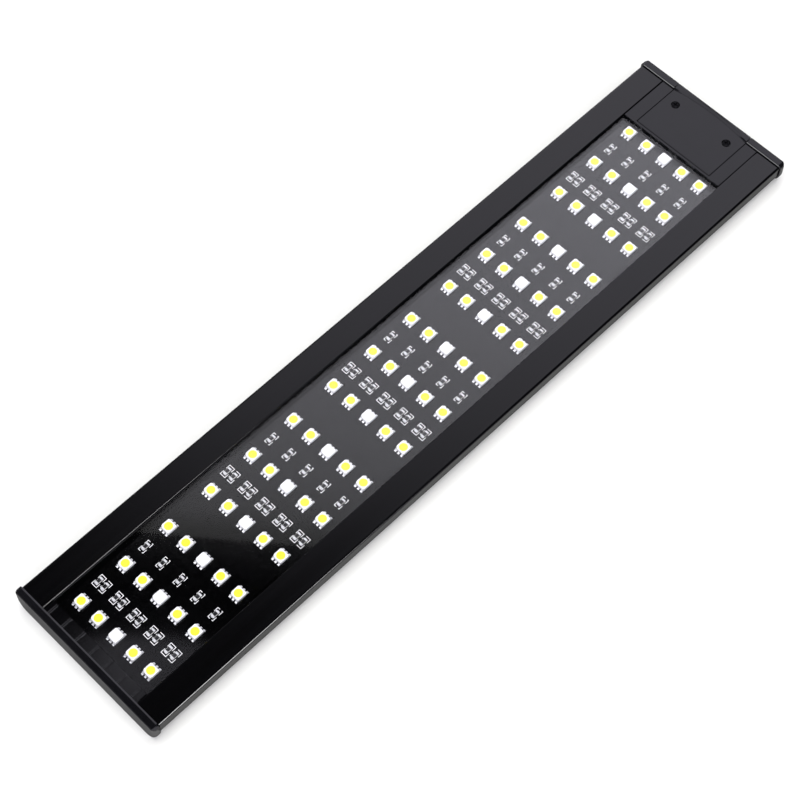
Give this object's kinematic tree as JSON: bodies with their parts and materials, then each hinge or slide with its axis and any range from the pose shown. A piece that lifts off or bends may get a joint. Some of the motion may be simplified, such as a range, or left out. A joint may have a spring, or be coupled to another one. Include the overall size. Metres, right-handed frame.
{
  "type": "led aquarium light",
  "caption": "Slim black aluminium light bar with rows of LEDs behind a clear lens, plastic end caps and a screwed-down wiring cover at one end.",
  "frame": {"origin": "under the middle of the bar, on the surface it lies on with its LEDs facing up", "axes": "+X along the bar towards the wiring cover, +Y across it, +Z out of the LEDs"},
  "size_m": [0.3614, 0.0802, 0.0117],
  "materials": {
    "anodised_aluminium": "black anodised, fine lengthwise extrusion lines",
    "cap_plastic": "black moulding, semi-gloss",
    "lens_acrylic": "clear, polished",
    "seal_rubber": "matt",
    "board_mask": "black solder mask",
    "thermal_silicone": "soft grey pad",
    "socket_plastic": "black moulding",
    "contact_metal": "tinned",
    "connector_nylon": "natural nylon",
    "wire_red": "insulated lead",
    "wire_black": "insulated lead",
    "screw_steel": "plain steel",
    "screw_black": "blackened steel",
    "led_package": "white reflector moulding",
    "led_phosphor": "yellow phosphor gel",
    "led_clear_gel": "clear gel over a pale reflector",
    "solder_tin": "tinned leads and pads",
    "resistor_body": "dark glazed ceramic",
    "board_legend": "white printed outlines"
  },
  "bodies": {
    "root": {"housing": "anodised_aluminium", "near_end_cap": "cap_plastic", "far_end_cap": "cap_plastic", "cover_plate": "cap_plastic", "cover_gasket": "seal_rubber", "lens": "lens_acrylic", "lens_seal_left": "seal_rubber", "lens_seal_right": "seal_rubber", "led_board": "board_mask", "thermal_pad": "thermal_silicone", "power_socket": "socket_plastic", "socket_seal": "seal_rubber", "socket_contact_positive": "contact_metal", "socket_contact_negative": "contact_metal", "board_header": "connector_nylon", "wire_plug": "connector_nylon", "header_pin_positive": "contact_metal", "header_pin_negative": "contact_metal", "wire_positive": "wire_red", "wire_negative": "wire_black", "cap_screw_near_left": "screw_steel", "cap_screw_near_right": "screw_steel", "cap_screw_far_left": "screw_steel", "cap_screw_far_right": "screw_steel", "cover_screw_left": "screw_black", "cover_screw_right": "screw_black"}
  },
  "joints": []
}
